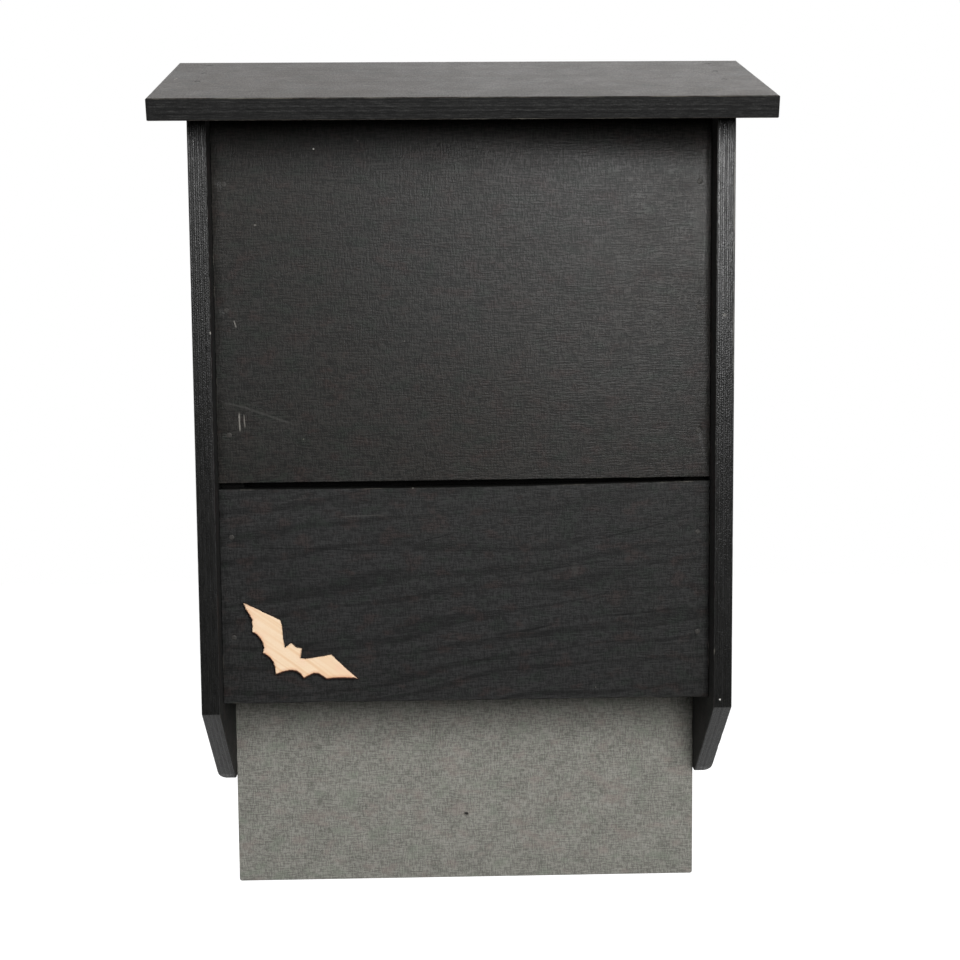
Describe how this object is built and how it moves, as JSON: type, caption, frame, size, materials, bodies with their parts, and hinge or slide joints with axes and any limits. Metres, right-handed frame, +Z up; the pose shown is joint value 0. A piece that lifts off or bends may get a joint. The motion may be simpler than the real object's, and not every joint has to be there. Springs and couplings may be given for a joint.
{
  "type": "bat box",
  "caption": "Wall-hung roosting box for bats in dark-stained plywood: sloping roof, recessed front panels with a vent, landing tail and a small bat silhouette.",
  "frame": {"origin": "middle of the back board's rear face: half way across and half way up the board, on the wall plane", "axes": "+Z up; +Y points out of the rear face into the wall, so the front of the box faces -Y; +X to the right seen from the front"},
  "size_m": [0.362, 0.1466, 0.5434],
  "materials": {
    "black_stained_ply": "thin black stain over visible grain, matte",
    "roof_ply": "black stain, matte, paler along the arrises",
    "inner_ply": "black stain, rough sawn with claw kerfs",
    "grey_board": "rough grey, finely speckled, unpainted",
    "pale_ply": "pale birch with burnt laser-cut edges",
    "zinc_steel": "zinc plated",
    "dark_steel": "blackened by the stain"
  },
  "bodies": {
    "root": {"left_cheek": "black_stained_ply", "right_cheek": "black_stained_ply", "upper_front_panel": "black_stained_ply", "lower_front_panel": "black_stained_ply", "roof": "roof_ply", "back_board": "grey_board", "bat_ornament": "pale_ply", "roost_partition": "inner_ply", "rear_spacer_left": "inner_ply", "rear_spacer_right": "inner_ply", "front_spacer_left": "inner_ply", "front_spacer_right": "inner_ply", "lower_panel_pin_left_1": "dark_steel", "lower_panel_pin_left_2": "dark_steel", "lower_panel_pin_right_1": "dark_steel", "lower_panel_pin_right_2": "dark_steel", "partition_pin_left_1": "dark_steel", "partition_pin_left_2": "dark_steel", "partition_pin_right_1": "dark_steel", "partition_pin_right_2": "dark_steel", "roof_pin_left_1": "dark_steel", "roof_pin_left_2": "dark_steel", "roof_pin_left_3": "dark_steel", "roof_pin_right_1": "dark_steel", "roof_pin_right_2": "dark_steel", "roof_pin_right_3": "dark_steel", "side_screw_left_1": "zinc_steel", "side_screw_left_2": "zinc_steel", "side_screw_left_3": "zinc_steel", "side_screw_right_1": "zinc_steel", "side_screw_right_2": "zinc_steel", "side_screw_right_3": "zinc_steel", "upper_panel_pin_left_1": "dark_steel", "upper_panel_pin_left_2": "dark_steel", "upper_panel_pin_left_3": "dark_steel", "upper_panel_pin_right_1": "dark_steel", "upper_panel_pin_right_2": "dark_steel", "upper_panel_pin_right_3": "dark_steel"}
  },
  "joints": []
}
